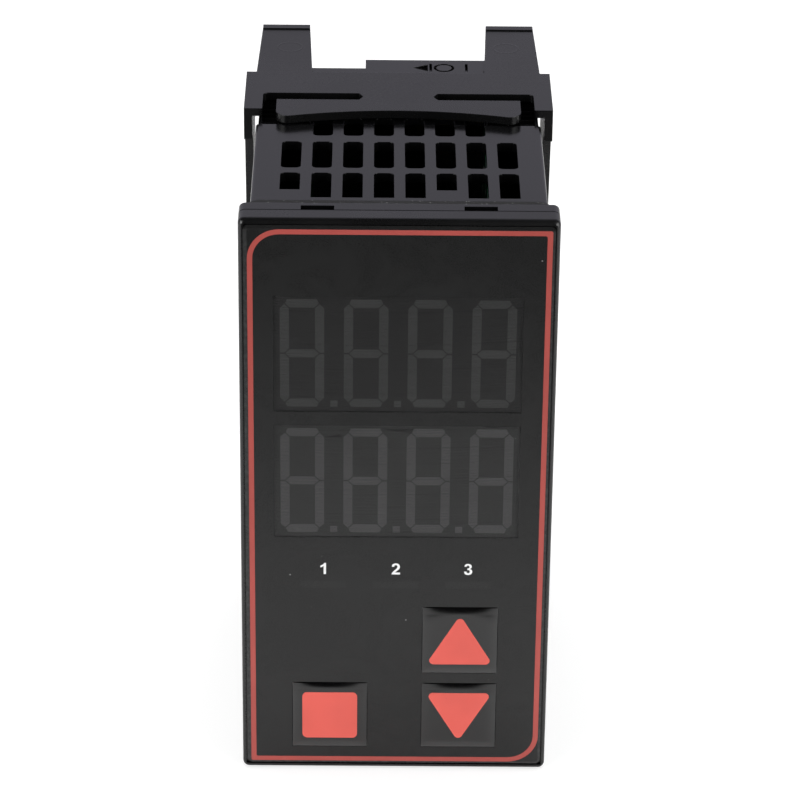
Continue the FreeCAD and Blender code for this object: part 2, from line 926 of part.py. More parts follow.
def is_corner(edge, width, height, diagonal):
    """Whether an edge is on a corner of the shifted border; diagonal is the sign of x times z there."""
    x = edge.CenterOfMass.x - number("border_shift")
    z = edge.CenterOfMass.z + number("border_drop")
    off_x = abs(abs(x) - number(width) / 2)
    off_z = abs(abs(z) - number(height) / 2)
    return off_x < 1e-6 and off_z < 1e-6 and x * z * diagonal > 0


def front_film(border):
    """The front film, let into the bezel, with a window for each key and a seat for the border."""
    film = body("film_body")
    slab(film, "film_sheet", "film_width", "film_height", "film_front", "film_thick")
    fillet(film, "film_corners", "film_corner", along_y)
    for name, (x, z) in KEYS.items():
        well(
            film,
            f"film_window_{name}",
            "key_width + 2 * key_gap",
            "key_height + 2 * key_gap",
            "film_front",
            "film_thick",
            x=x,
            z=z,
        )
    return cut("front_film", film, [border])


def key_symbol(name, x, z):
    """The raised print on a key: an arrowhead, or a square on the set key."""
    symbol = body(f"key_symbol_{name}")
    if name == "set":
        size = ("square_width", "square_height")
        slab(symbol, "symbol_square", *size, "pad_front", "print_thick", x=x, z=z)
        fillet(symbol, "symbol_square_round", "square_round", along_y)
        return symbol
    up = 1 if name == "up" else -1
    base = f"{up} * (arrow_shift - arrow_height / 2)"
    tip = f"{up} * (arrow_shift + arrow_height / 2)"
    points = [("-arrow_width / 2", base), ("arrow_width / 2", base), ("0", tip)]
    arrow = outline(symbol, f"symbol_{name}", points, (x, z, "-(pad_front)"), role="XZ_Plane")
    pad(symbol, arrow, "print_thick", back=True)
    fillet(symbol, f"symbol_{name}_round", "arrow_round", along_y)
    return symbol


def key(name, x, z):
    """A key: its pad with a retaining collar and stem, its symbol, and its switch's plunger."""
    symbol = key_symbol(name, x, z)
    cap = body(f"key_body_{name}")
    slab(cap, f"cap_{name}", "key_width", "key_height", "pad_front", "film_back - pad_front", x=x, z=z)
    fillet(cap, f"cap_corners_{name}", "key_corner", along_y)
    front = number("pad_front")
    fillet(
        cap,
        f"cap_edge_{name}",
        "key_edge_round",
        lambda edge: abs(edge.BoundBox.YMin - front) < 1e-6 and abs(edge.BoundBox.YMax - front) < 1e-6,
    )
    neck = "plate_back - film_back"
    slab(cap, f"neck_{name}", "key_neck_width", "key_neck_height", "film_back", neck, x=x, z=z)
    slab(
        cap,
        f"collar_{name}",
        "key_neck_width + 2 * key_collar",
        "key_neck_height + 2 * key_collar",
        "plate_back",
        "key_collar_thick",
        x=x,
        z=z,
    )
    stem = rod(f"stem_{name}", "key_stem_radius", "plunger_front - collar_back", (x, "collar_back", z))
    cut(f"key_pad_{name}", join(f"key_solid_{name}", [cap, stem]), [symbol])
    plunger_length = "plunger_proud + plunger_inside"
    rod(f"switch_plunger_{name}", "plunger_radius", plunger_length, (x, "plunger_front", z))


def key_switch(name, x, z):
    """The switch's housing on the front board, with the plunger's bore."""
    depth = ("switch_front", "switch_height")
    housing = block(f"switch_block_{name}", (x, "switch_side"), depth, (z, "switch_side"))
    bore = rod(
        f"switch_bore_{name}",
        "plunger_radius + plunger_gap",
        "plunger_inside + key_travel + plunger_gap",
        (x, "switch_front", z),
    )
    cut(f"switch_housing_{name}", housing, [bore])


def digit_bars():
    """The outlines of a digit's seven bars about its middle, as points of X and Z."""
    half = number("digit_bar") / 2
    trim = number("digit_bar_gap") / 2
    corner = number("digit_bar_corner")
    w = number("digit_width") / 2 - half
    h = number("digit_height") / 2 - half
    left = -w + trim
    right = w - trim
    level = [
        (left, 0),
        (left + half, half),
        (right - half, half),
        (right, 0),
        (right - half, -half),
        (left + half, -half),
    ]
    top = [
        (left, h),
        (left + corner, h + half),
        (right - corner, h + half),
        (right, h),
        (right - half, h - half),
        (left + half, h - half),
    ]
    upright = [
        (w, h - trim),
        (w + half, h - trim - half),
        (w + half, trim),
        (w, trim),
        (w - half, trim + half),
        (w - half, h - trim - half),
    ]
    bars = [level, top, [(x, -z) for x, z in top]]
    for side in (-1, 1):
        for up in (-1, 1):
            bars.append([(side * x, up * z) for x, z in upright])
    return bars


def display_digits(name, z):
    """Every segment and decimal point of a display, as separate light guides."""
    depth = number("digit_depth")
    dot = number("digit_dot")
    solids = []
    for digit in range(DISPLAY_DIGITS):
        middle = (digit - (DISPLAY_DIGITS - 1) / 2) * number("digit_pitch")
        for points in digit_bars():
            corners = [Vector(middle + x, 0, up) for x, up in points]
            face = Part.Face(Part.makePolygon(corners + corners[:1]))
            solids.append(face.extrude(Vector(0, depth, 0)))
        if digit < DISPLAY_DIGITS - 1:
            between = middle + (number("digit_pitch") - dot) / 2
            corner = Vector(between, 0, -number("digit_height") / 2)
            solids.append(Part.makeBox(dot, depth, dot, corner))
    light_guides = doc.addObject("Part::Feature", f"display_{name}_segments")
    light_guides.Shape = Part.makeCompound(solids)
    place(light_guides, "0", "film_back", z)
    return light_guides


def display(name, z):
    digits = display_digits(name, z)
    housing = block(
        f"display_block_{name}",
        ("0", "display_width"),
        ("film_back", "front_board_front - film_back"),
        (z, "display_height"),
    )
    doc.recompute()
    cut(f"display_{name}_housing", housing, [digits])


def lamps():
    """The three indicators: flat lenses behind the film, each on its own lamp."""
    lens_depth = ("film_back", "lamp_lens_depth")
    chip_depth = ("film_back + lamp_lens_depth", "front_board_front - (film_back + lamp_lens_depth)")
    lens_height = ("lamp_z", "lamp_height")
    chip_height = ("lamp_z", "lamp_chip_height")
    lenses = []
    chips = []
    for index in range(LAMPS):
        x = f"{index - (LAMPS - 1) / 2} * lamp_pitch"
        lenses.append(block(f"lens_{index}", (x, "lamp_width"), lens_depth, lens_height))
        chips.append(block(f"chip_{index}", (x, "lamp_chip_width"), chip_depth, chip_height))
    group("indicator_lenses", lenses)
    group("indicator_lamps", chips)


def front_board():
    """The board behind the front, and the four screws that hold it to the bezel's bosses."""
    height = "(inner_height - 2 * (tab_gap + tab_thick + board_gap))"
    plate = block(
        "front_board_plate",
        ("0", "inner_width - 2 * board_gap"),
        ("front_board_front", "board_thick"),
        ("0", height),
    )
    holes = []
    screws = []
    for name, (x, z) in BOSSES.items():
        at = (x, "front_board_front", z)
        holes.append(rod(f"board_hole_{name}", "board_screw_radius + screw_gap", "board_thick", at))
        tip = (x, "front_board_back - board_screw_length", z)
        shank = rod(f"board_shank_{name}", "board_screw_radius", "board_screw_length", tip)
        seat = (x, "front_board_back", z)
        head = rod(f"board_head_{name}", "board_screw_head_radius", "board_screw_head", seat)
        screws.append(join(f"board_screw_{name}", [shank, head]))
    cut("front_board", plate, holes)
    group("front_board_screws", screws)


def side_board(side, sign, name):
    """A board that runs from the front board to the rear contacts, with its corner header."""
    x = f"{sign} * side_board_x"
    block(
        name,
        (x, "board_thick"),
        ("front_board_back", "side_board_end - front_board_back"),
        ("0", "inner_height - 2 * side_board_gap"),
    )
    block(
        f"board_header_{side}",
        (f"{sign} * (side_board_x - (board_thick + header_width) / 2)", "header_width"),
        ("front_board_back", "header_width"),
        ("0", "header_height"),
    )


def on_power_board(tall):
    """The centre along X of a part that stands on the inner face of the right-hand board."""
    return f"side_board_x - (board_thick + {tall}) / 2"


def power_parts():
    """Relays, transformer and capacitors on the right-hand board."""
    for index in range(RELAYS):
        block(
            f"output_relay_{index + 1}",
            (on_power_board("relay_tall"), "relay_tall"),
            ("relay_front", "relay_long"),
            (f"relay_first_z + {index} * relay_pitch", "relay_wide"),
        )
    x = on_power_board("core_tall")
    across = ("core_z", "core_wide")
    core_block = block("core_block", (x, "core_tall"), ("core_front", "core_long"), across)
    window = "((core_long - 3 * core_leg) / 2)"
    openings = []
    for index in range(2):
        front = f"core_front + core_leg + {index} * (core_leg + {window})"
        openings.append(
            block(f"core_window_{index}", (x, "core_tall - core_leg"), (front, window), across)
        )
    winding = block(
        "winding_block",
        (x, "core_tall - core_leg - 2 * winding_gap"),
        ("core_front + core_leg + winding_gap", "core_long - 2 * core_leg - 2 * winding_gap"),
        ("core_z", "winding_wide"),
    )
    leg = block(
        "winding_leg",
        (x, "core_tall"),
        (f"core_front + core_leg + {window} - winding_gap", "core_leg + 2 * winding_gap"),
        ("core_z", "core_wide + 2 * winding_gap"),
    )
    cut("transformer_core", core_block, openings)
    cut("transformer_winding", winding, [leg])
    for name in ("bulk", "filter"):
        tall = f"{name}_capacitor_tall"
        foot = f"side_board_x - board_thick / 2 - {tall}"
        rod(
            f"{name}_capacitor",
            f"{name}_capacitor_radius",
            tall,
            (foot, f"{name}_capacitor_y", f"{name}_capacitor_z"),
            ALONG_X,
        )


def processor_parts():
    """The chips on the inner face of the left-hand board."""
    x = "-side_board_x + (board_thick + processor_thick) / 2"
    block(
        "processor_chip",
        (x, "processor_thick"),
        ("processor_front", "processor_side"),
        ("processor_z", "processor_side"),
    )
    block(
        "converter_chip",
        (x, "processor_thick"),
        ("converter_front", "converter_wide"),
        ("converter_z", "converter_long"),
    )


def terminal_block(side, sign):
    """A row of barrier terminals in the rear wall, with its contacts, wire clamps and screws."""
    x = f"{sign} * terminal_x"
    shoulder = block(
        f"terminal_shoulder_{side}",
        (x, "terminal_width + 2 * terminal_shoulder"),
        ("terminal_front", "rear_inside - terminal_front"),
        ("0", "terminal_height + 2 * terminal_shoulder"),
    )
    neck = block(
        f"terminal_neck_{side}",
        (x, "terminal_width"),
        ("terminal_front", "terminal_depth"),
        ("0", "terminal_height"),
    )
    bays = []
    contacts = []
    washers = []
    screws = []
    leaf_x = f"{sign} * (side_board_x + board_thick / 2 + leaf_gap + leaf_thick / 2)"
    for way in range(TERMINAL_WAYS):
        tag = f"{side}_{way}"
        z = f"{way - (TERMINAL_WAYS - 1) / 2} * terminal_pitch"
        bays.append(
            block(
                f"bay_{tag}",
                (x, "terminal_width - 2 * terminal_rib"),
                ("bay_floor", "bay_depth"),
                (z, "terminal_pitch - terminal_rib"),
            )
        )
        washer_front = "(bay_floor + contact_thick)"
        plate = block(
            f"contact_plate_{tag}",
            (x, "contact_long"),
            ("bay_floor", "contact_thick"),
            (z, "contact_width"),
        )
        leaf = block(
            f"contact_leaf_{tag}",
            (leaf_x, "leaf_thick"),
            ("terminal_front - leaf_reach", "bay_floor - terminal_front + leaf_reach"),
            (z, "leaf_width"),
        )
        hole_at = (x, f"{washer_front} + washer_thick - screw_length - screw_gap", z)
        hole = rod(f"screw_hole_{tag}", "screw_radius + screw_gap", "screw_length + screw_gap", hole_at)
        contacts.append(cut(f"contact_{tag}", join(f"contact_solid_{tag}", [plate, leaf]), [hole]))
        washer = block(
            f"washer_block_{tag}",
            (x, "washer_side"),
            (washer_front, "washer_thick"),
            (z, "washer_side"),
        )
        washers.append(cut(f"washer_{tag}", washer, [hole]))
        bays.append(hole)
        bays.append(leaf)
        head_front = f"({washer_front} + washer_thick)"
        tip = (x, f"{head_front} - screw_length", z)
        shank = rod(f"shank_{tag}", "screw_radius", "screw_length", tip)
        head = rod(f"head_{tag}", "screw_head_radius", "screw_head_height", (x, head_front, z))
        slot = block(
            f"slot_{tag}",
            (x, "2 * screw_head_radius"),
            (f"{head_front} + screw_head_height - screw_slot_depth", "screw_slot_depth"),
            (z, "screw_slot_width"),
        )
        screws.append(cut(f"screw_{tag}", join(f"screw_solid_{tag}", [shank, head]), [slot]))
    cut(f"terminal_block_{side}", join(f"terminal_solid_{side}", [shoulder, neck]), bays)
    return contacts, washers, screws


def terminals():
    contacts = []
    washers = []
    screws = []
    for side, sign in SIDES.items():
        for every, found in zip((contacts, washers, screws), terminal_block(side, sign)):
            every.extend(found)
    group("terminal_contacts", contacts)
    group("terminal_clamps", washers)
    group("terminal_screws", screws)


def clamp_plan():
    """The clamp's outline seen from above: tongue in front, two arms behind."""
    right = [
        ("tongue_half", "tongue_tip + tongue_tip_round"),
        ("tongue_half", "clamp_front"),
        ("clamp_half", "clamp_front"),
        ("clamp_half", "clamp_back"),
        ("arm_outer", "clamp_back"),
        ("arm_outer_end", "arm_end"),
        ("arm_inner_end", "arm_end"),
        ("arm_inner", "clamp_back"),
    ]
    left = [(f"-{x}", y) for x, y in reversed(right)]
    tip = "(tongue_half - tongue_tip_round)"
    return [(f"-{tip}", "tongue_tip"), (tip, "tongue_tip"), *right, *left]


def mounting_clamp():
    """The sliding clamp: a collar round the case with a spring tongue and two ratchet arms on top
    and the same below."""
    clamp = body("clamp_body")
    plan = clamp_plan()
    arcs = {0: "-tongue_front_radius", 1: "tongue_tip_round", len(plan) - 1: "tongue_tip_round"}
    prism = outline(clamp, "clamp_plan", plan, ("0", "0", "0"), arcs=arcs)
    pad(clamp, prism, "clamp_bore_height + 2 * clamp_wall", both=True)
    bore_depth = "arm_end - tongue_tip"
    well(clamp, "clamp_bore", "clamp_bore_width", "clamp_bore_height", "tongue_tip", bore_depth)
    for side, sign in SIDES.items():
        middle = "(slot_front + slot_back) / 2"
        points = [
            (f"{sign} * slot_neck", middle),
            (f"{sign} * (slot_neck + slot_point)", "slot_front"),
            (f"{sign} * tongue_half", "slot_front"),
            (f"{sign} * tongue_half", "clamp_front"),
            (f"{sign} * slot_outer", "clamp_front"),
            (f"{sign} * slot_outer", "slot_back - slot_outer_round"),
            (f"{sign} * (slot_outer - slot_outer_round)", "slot_back"),
            (f"{sign} * (slot_neck + slot_point)", "slot_back"),
        ]
        round_corner = "slot_outer_round" if sign > 0 else "-slot_outer_round"
        slot = outline(clamp, f"clamp_slot_{side}", points, ("0", "0", "0"), arcs={5: round_corner})
        pocket(clamp, slot, "clamp_bore_height + 4 * clamp_wall", both=True)
    edge = "(clamp_bore_height / 2 - side_edge_step)"
    start = "(clamp_front + side_edge_setback)"
    points = [("clamp_front", f"-{edge}"), (start, f"-{edge}"), (start, edge), ("clamp_front", edge)]
    recess = outline(
        clamp, "clamp_side_edge", points, ("0", "0", "0"), role="YZ_Plane", arcs={1: "side_arc_radius"}
    )
    pocket(clamp, recess, "2 * case_width", both=True)
    level = "clamp_bore_height / 2"
    additions = []
    for index in range(PAWL_TEETH):
        y = f"pawl_front + {index + 1} * tooth_pitch"
        additions.append(tooth(f"pawl_{index}", y, level, "pawl_reach", "arm_inner_end"))
    lip = block(
        "arm_lip",
        ("(arm_inner_end + arm_outer_end) / 2", "arm_outer_end - arm_inner_end"),
        ("arm_end - arm_lip", "arm_lip"),
        (f"{level} + clamp_wall + arm_lip_height / 2", "arm_lip_height"),
    )
    details = []
    for piece in (*additions, lip):
        left = mirrored(f"{piece.Name}_left", piece, Vector(1, 0, 0))
        details += [piece, left]
        for top in (piece, left):
            details.append(mirrored(f"{top.Name}_bottom", top, Vector(0, 0, 1)))
    return join("mounting_clamp", [clamp, *details])


NODES = [
    "case_sleeve",
    "panel_gasket",
    "terminal_block_left",
    "terminal_block_right",
    "terminal_contacts",
    "terminal_clamps",
    "terminal_screws",
    "bezel_frame",
    "front_film",
    "border_line",
    "display_upper_housing",
    "display_upper_segments",
    "display_lower_housing",
    "display_lower_segments",
    "indicator_lenses",
    "indicator_lamps",
    "front_board",
    "front_board_screws",
    "switch_housing_up",
    "switch_housing_down",
    "switch_housing_set",
    "processor_board",
    "power_board",
    "board_header_left",
    "board_header_right",
    "output_relay_1",
    "output_relay_2",
    "output_relay_3",
    "transformer_core",
    "transformer_winding",
    "bulk_capacitor",
    "filter_capacitor",
    "processor_chip",
    "converter_chip",
    "mounting_clamp",
]
NODES += [f"{piece}_{name}" for name in KEYS for piece in ("key_pad", "key_symbol", "switch_plunger")]


def build():
    case_sleeve()
    panel_gasket()
    terminals()
    bezel_frame()
    front_film(border_line())
    for name, z in DISPLAYS.items():
        display(name, z)
    lamps()
    front_board()
    for name, (x, z) in KEYS.items():
        key(name, x, z)
        key_switch(name, x, z)
    side_board("left", -1, "processor_board")
    side_board("right", 1, "power_board")
    power_parts()
    processor_parts()
    mounting_clamp()


def write_nodes():
    """Checks every object of the document, then writes each sub-part's solids to its file."""
    doc.recompute()
    for item in doc.Objects:
        if "Invalid" in item.State or "Error" in item.State:
            raise RuntimeError(f"{item.Name}: {item.State}")
    os.makedirs("parts", exist_ok=True)
    for name in NODES:
        node = doc.getObject(name)
        node.Label = name
        shape = node.Shape
        if shape.isNull() or not shape.isValid() or not shape.Solids:
            raise RuntimeError(f"{name}: no valid solid")
        shape.exportStep(f"parts/{name}.step")
        print(f"{name}: {len(shape.Solids)} solids, {shape.Volume:.1f} mm3")


build()
write_nodes()
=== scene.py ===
import math

import bpy
import bmesh
from mathutils import Euler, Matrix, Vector


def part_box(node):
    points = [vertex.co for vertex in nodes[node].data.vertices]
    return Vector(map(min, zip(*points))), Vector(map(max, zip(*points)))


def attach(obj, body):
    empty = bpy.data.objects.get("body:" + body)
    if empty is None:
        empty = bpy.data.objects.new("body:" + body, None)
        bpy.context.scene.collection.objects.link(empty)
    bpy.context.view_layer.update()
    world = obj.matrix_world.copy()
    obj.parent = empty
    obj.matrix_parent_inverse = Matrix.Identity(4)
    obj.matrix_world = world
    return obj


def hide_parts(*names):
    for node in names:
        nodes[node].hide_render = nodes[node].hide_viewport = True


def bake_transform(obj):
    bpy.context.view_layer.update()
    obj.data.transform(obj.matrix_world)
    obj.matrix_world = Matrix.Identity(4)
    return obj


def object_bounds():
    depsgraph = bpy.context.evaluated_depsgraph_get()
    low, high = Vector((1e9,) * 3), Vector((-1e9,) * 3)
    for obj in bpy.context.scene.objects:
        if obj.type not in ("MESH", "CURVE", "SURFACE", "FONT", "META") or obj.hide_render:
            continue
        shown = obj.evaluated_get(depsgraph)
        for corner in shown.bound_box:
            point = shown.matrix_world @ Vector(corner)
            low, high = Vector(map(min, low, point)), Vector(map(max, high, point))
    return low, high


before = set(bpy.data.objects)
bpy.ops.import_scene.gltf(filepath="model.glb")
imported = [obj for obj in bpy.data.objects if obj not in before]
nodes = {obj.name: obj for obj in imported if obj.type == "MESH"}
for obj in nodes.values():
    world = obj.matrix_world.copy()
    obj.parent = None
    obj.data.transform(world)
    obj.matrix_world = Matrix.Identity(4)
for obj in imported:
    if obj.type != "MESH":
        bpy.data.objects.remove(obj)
cad_box = [list(corner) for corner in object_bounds()]
MM = 0.001
KEYS = ("up", "down", "set")
SIDES = ("left", "right")
LEVELS = ("upper", "lower")

# ---------------------------------------------------------------------------------------------
# Node helpers. Object coordinates are the frame's own metres, so every scale below is in 1/m.


class Graph:
    """A material's node tree, built with short calls."""

    def __init__(self, name):
        self.material = bpy.data.materials.new(name)
        self.material.use_nodes = True
        self.tree = self.material.node_tree
        self.tree.nodes.clear()
        self.output = self.add("ShaderNodeOutputMaterial")
        self.coords = self.add("ShaderNodeTexCoord").outputs["Object"]

    def add(self, kind, **settings):
        node = self.tree.nodes.new(kind)
        for key, value in settings.items():
            setattr(node, key, value)
        return node

    def link(self, source, target):
        self.tree.links.new(source, target)

    def feed(self, socket, value):
        """Sets a socket to a number or colour, or links an output into it."""
        if isinstance(value, bpy.types.NodeSocket):
            self.link(value, socket)
        else:
            socket.default_value = value

    def math(self, operation, a, b=0.0, c=0.0):
        node = self.add("ShaderNodeMath", operation=operation)
        for socket, value in zip(node.inputs, (a, b, c)):
            self.feed(socket, value)
        return node.outputs[0]

    def highest(self, values):
        """The largest of several values."""
        result = values[0]
        for value in values[1:]:
            result = self.math("MAXIMUM", result, value)
        return result

    def shader_mix(self, factor, first, second):
        node = self.add("ShaderNodeMixShader")
        self.link(factor, node.inputs[0])
        self.link(first, node.inputs[1])
        self.link(second, node.inputs[2])
        return node.outputs[0]

    def noise(self, scale, detail=2.0, roughness=0.5, coords=None, distortion=0.0):
        node = self.add("ShaderNodeTexNoise")
        self.link(coords or self.coords, node.inputs["Vector"])
        node.inputs["Scale"].default_value = scale
        node.inputs["Detail"].default_value = detail
        node.inputs["Roughness"].default_value = roughness
        node.inputs["Distortion"].default_value = distortion
        return node.outputs["Fac"]

    def stretch(self, x, y, z):
        """Object coordinates scaled along each axis."""
        node = self.add("ShaderNodeVectorMath", operation="MULTIPLY")
        self.link(self.coords, node.inputs[0])
        node.inputs[1].default_value = (x, y, z)
        return node.outputs[0]

    def voronoi(self, scale, feature="F1", coords=None):
        node = self.add("ShaderNodeTexVoronoi", feature=feature)
        self.link(coords or self.coords, node.inputs["Vector"])
        node.inputs["Scale"].default_value = scale
        return node

    def ramp(self, value, low, high, start=0.0, end=1.0):
        """The value mapped from low..high to start..end, smoothly and clamped."""
        node = self.add("ShaderNodeMapRange", interpolation_type="SMOOTHSTEP")
        self.feed(node.inputs["Value"], value)
        self.feed(node.inputs["From Min"], low)
        self.feed(node.inputs["From Max"], high)
        self.feed(node.inputs["To Min"], start)
        self.feed(node.inputs["To Max"], end)
        return node.outputs["Result"]

    def mix(self, factor, a, b):
        node = self.add("ShaderNodeMix", data_type="RGBA")
        self.feed(node.inputs[0], factor)
        self.feed(node.inputs[6], a)
        self.feed(node.inputs[7], b)
        return node.outputs[2]

    def bump(self, height, distance, strength=1.0):
        node = self.add("ShaderNodeBump")
        self.link(height, node.inputs["Height"])
        node.inputs["Distance"].default_value = distance
        node.inputs["Strength"].default_value = strength
        return node.outputs["Normal"]

    def axis(self, name):
        """The object coordinate along one axis."""
        if not hasattr(self, "split"):
            self.split = self.add("ShaderNodeSeparateXYZ")
            self.link(self.coords, self.split.inputs[0])
        return self.split.outputs[name]

    def window(self, axis, low, high, soft=0.04 * MM):
        """1 between two places along an axis and 0 outside, with a soft edge."""
        value = self.axis(axis)
        rise = self.ramp(value, low - soft, low + soft)
        fall = self.ramp(value, high - soft, high + soft, 1.0, 0.0)
        return self.math("MULTIPLY", rise, fall)

    def surface(self, colour, roughness, normal=None, metallic=0.0, specular=0.5):
        node = self.add("ShaderNodeBsdfPrincipled")
        self.feed(node.inputs["Base Color"], colour)
        self.feed(node.inputs["Roughness"], roughness)
        node.inputs["Metallic"].default_value = metallic
        node.inputs["Specular IOR Level"].default_value = specular
        if normal:
            self.link(normal, node.inputs["Normal"])
        self.link(node.outputs[0], self.output.inputs["Surface"])
        return node


def grey(value, warm=1.0):
    return (value, value, value * warm, 1.0)


def shade(colour, factor):
    return (colour[0] * factor, colour[1] * factor, colour[2] * factor, 1.0)


def specks(graph, scale, share, size):
    """A mask of sparse round specks: dust that has settled on the plastic."""
    cells = graph.voronoi(scale)
    split = graph.add("ShaderNodeSeparateColor")
    graph.link(cells.outputs["Color"], split.inputs[0])
    chosen = graph.math("LESS_THAN", split.outputs[0], share)
    near = graph.ramp(cells.outputs["Distance"], size * 0.5, size, 1.0, 0.0)
    return graph.math("MULTIPLY", chosen, near)


# Where a noise counts as low and as high
NOISE_LOW = 0.3
NOISE_HIGH = 0.7
FLOW_SCALE = 55
DUST_SCALE = 900
DUST_SIZE = 0.16
DUST_COVER = 0.55
DUST_GREY = 0.30


def plastic(
    name,
    colour,
    roughness=0.4,
    grain=5200,
    height=4e-6,
    mottling=0.12,
    dust=0.0,
    specular=0.5,
    edge=0.0,
    extra=None,
):
    """Moulded plastic: a fine grain and faint flow marks, with dust and soft edges where asked for.

    Dust is the share of cells that hold a speck, and edge is the radius of the soft edges in metres.
    Extra is called with the graph, the tone and the grain, and gives back the tone and the grain.
    """
    g = Graph(name)
    fine = g.noise(grain, 3.0, 0.6)
    flow = g.noise(FLOW_SCALE, 2.0, 0.5, g.stretch(1.0, 0.45, 1.0), 0.6)
    darker = shade(colour, 1 - mottling)
    lighter = shade(colour, 1 + mottling)
    tone = g.mix(g.ramp(flow, NOISE_LOW, NOISE_HIGH), darker, lighter)
    broad = g.ramp(flow, NOISE_LOW, NOISE_HIGH, roughness - 0.04, roughness + 0.05)
    rough = g.math("ADD", broad, g.ramp(fine, NOISE_LOW, NOISE_HIGH, -0.03, 0.03))
    if dust:
        speck = specks(g, DUST_SCALE, dust, DUST_SIZE)
        tone = g.mix(g.math("MULTIPLY", speck, DUST_COVER), tone, grey(DUST_GREY))
    if extra:
        tone, fine = extra(g, tone, fine)
    normal = g.bump(fine, height)
    if edge:
        soft = g.add("ShaderNodeBevel", samples=6)
        soft.inputs["Radius"].default_value = edge
        g.link(normal, soft.inputs["Normal"])
        normal = soft.outputs["Normal"]
    g.surface(tone, rough, normal, specular=specular)
    return g.material


METAL_STAIN = 0.1


def metal(name, colour, roughness=0.3, brush=(1.0, 1.0, 1.0), scale=2500):
    """Plated metal with fine lines along the brush's short axis and a faint cloudy stain."""
    g = Graph(name)
    lines = g.noise(scale, 4.0, 0.6, g.stretch(*brush))
    cloud = g.noise(260, 3.0, 0.6)
    stained = shade(colour, 1 - METAL_STAIN)
    clean = shade(colour, 1 + METAL_STAIN * 0.4)
    tone = g.mix(g.ramp(cloud, 0.35, NOISE_HIGH), stained, clean)
    brushed = g.ramp(lines, NOISE_LOW, NOISE_HIGH, roughness - 0.08, roughness + 0.08)
    rough = g.math("ADD", brushed, g.ramp(cloud, NOISE_LOW, NOISE_HIGH, 0.0, 0.1))
    g.surface(tone, rough, g.bump(lines, 3e-6), metallic=1.0)
    return g.material


def paint(node_name, material):
    """Gives a CAD node one material."""
    slots = nodes[node_name].data.materials
    slots.clear()
    slots.append(material)


# ---------------------------------------------------------------------------------------------
# Materials of the CAD nodes

SEAL_DUST_FRONT = -2.2 * MM
SEAL_DUST_BACK = 0.2 * MM
SEAL_DUST_SOFT = 0.2 * MM


def dust_line(g, tone, fine):
    """Fine pale dust caught along the panel's seal."""
    band = g.window("Y", SEAL_DUST_FRONT, SEAL_DUST_BACK, SEAL_DUST_SOFT)
    speck = specks(g, 2600, 0.22, 0.33)
    return g.mix(g.math("MULTIPLY", g.math("MULTIPLY", band, speck), 0.7), tone, grey(0.25)), fine


black_case = plastic(
    "case_black",
    grey(0.0028, 1.1),
    0.19,
    height=2e-6,
    dust=0.003,
    specular=0.40,
    edge=0.12 * MM,
)

EJECTOR_X = 17.7 * MM
EJECTOR_Y = 62.5 * MM
EJECTOR_RADIUS = 2.0 * MM
EJECTOR_LINE_INNER = 0.04 * MM
EJECTOR_LINE_OUTER = 0.22 * MM
EJECTOR_HEIGHT = 7.0
STREAK_HEIGHT = 2.2


def flow_lines(g, tone, fine):
    """Long faint flow lines along the clamp, and a round ejector mark on each upper arm."""
    streak = g.noise(420, 3.0, 0.6, g.stretch(0.06, 1.0, 1.0))
    height = g.math("ADD", fine, g.math("MULTIPLY", streak, STREAK_HEIGHT))
    rings = []
    for side in (-1, 1):
        dx = g.math("SUBTRACT", g.axis("X"), side * EJECTOR_X)
        dy = g.math("SUBTRACT", g.axis("Y"), EJECTOR_Y)
        reach = g.math("SQRT", g.math("ADD", g.math("MULTIPLY", dx, dx), g.math("MULTIPLY", dy, dy)))
        edge = g.math("ABSOLUTE", g.math("SUBTRACT", reach, EJECTOR_RADIUS))
        rings.append(g.ramp(edge, EJECTOR_LINE_INNER, EJECTOR_LINE_OUTER, 1.0, 0.0))
    return tone, g.math("ADD", height, g.math("MULTIPLY", g.highest(rings), EJECTOR_HEIGHT))


black_clamp = plastic(
    "clamp_black",
    grey(0.003, 1.06),
    0.28,
    grain=4200,
    height=3e-6,
    dust=0.003,
    specular=0.38,
    edge=0.15 * MM,
    extra=flow_lines,
)

JOINT_FRONT = -4.0 * MM
JOINT_BACK = -3.6 * MM
JOINT_STEP = 45.0


def bezel_joint(g, tone, fine):
    """The bezel's front ring stands a hair lower than its flange: a fine dark line runs round the sides."""
    return tone, g.math("ADD", fine, g.ramp(g.axis("Y"), JOINT_FRONT, JOINT_BACK, 0.0, JOINT_STEP))


black_bezel = plastic("bezel_black", grey(0.003, 1.05), 0.30, height=3e-6, dust=0.01, extra=bezel_joint)
paint("case_sleeve", black_case)
paint("mounting_clamp", black_clamp)
paint("bezel_frame", black_bezel)

rubber = plastic("gasket_rubber_look", grey(0.012), 0.72, grain=3000, height=1.2e-5, extra=dust_line)
paint("panel_gasket", rubber)

terminal_black = plastic("terminal_black", grey(0.012, 1.05), 0.42, dust=0.002)
for side in SIDES:
    paint(f"terminal_block_{side}", terminal_black)
SCREW_BRUSH = (1, 4, 1)
SCREW_LINES = 3200
paint("terminal_contacts", metal("tinned_brass", (0.74, 0.63, 0.38, 1), 0.28, (1, 1, 6)))
paint("terminal_clamps", metal("zinc_clamp", (0.66, 0.66, 0.64, 1), 0.36, (6, 1, 1)))
paint("terminal_screws", metal("zinc_screw", (0.70, 0.70, 0.67, 1), 0.27, SCREW_BRUSH, SCREW_LINES))
paint("front_board_screws", metal("board_screw_zinc", (0.68, 0.68, 0.65, 1), 0.3, SCREW_BRUSH, SCREW_LINES))


TRACE_SCALE = 420
PAD_SCALE = 300
RESIST_GREEN = (0.0025, 0.014, 0.007, 1)
TRACE_GREEN = (0.005, 0.030, 0.013, 1)
PAD_TIN = (0.55, 0.55, 0.52, 1)
TRACE_HEIGHT = 0.4


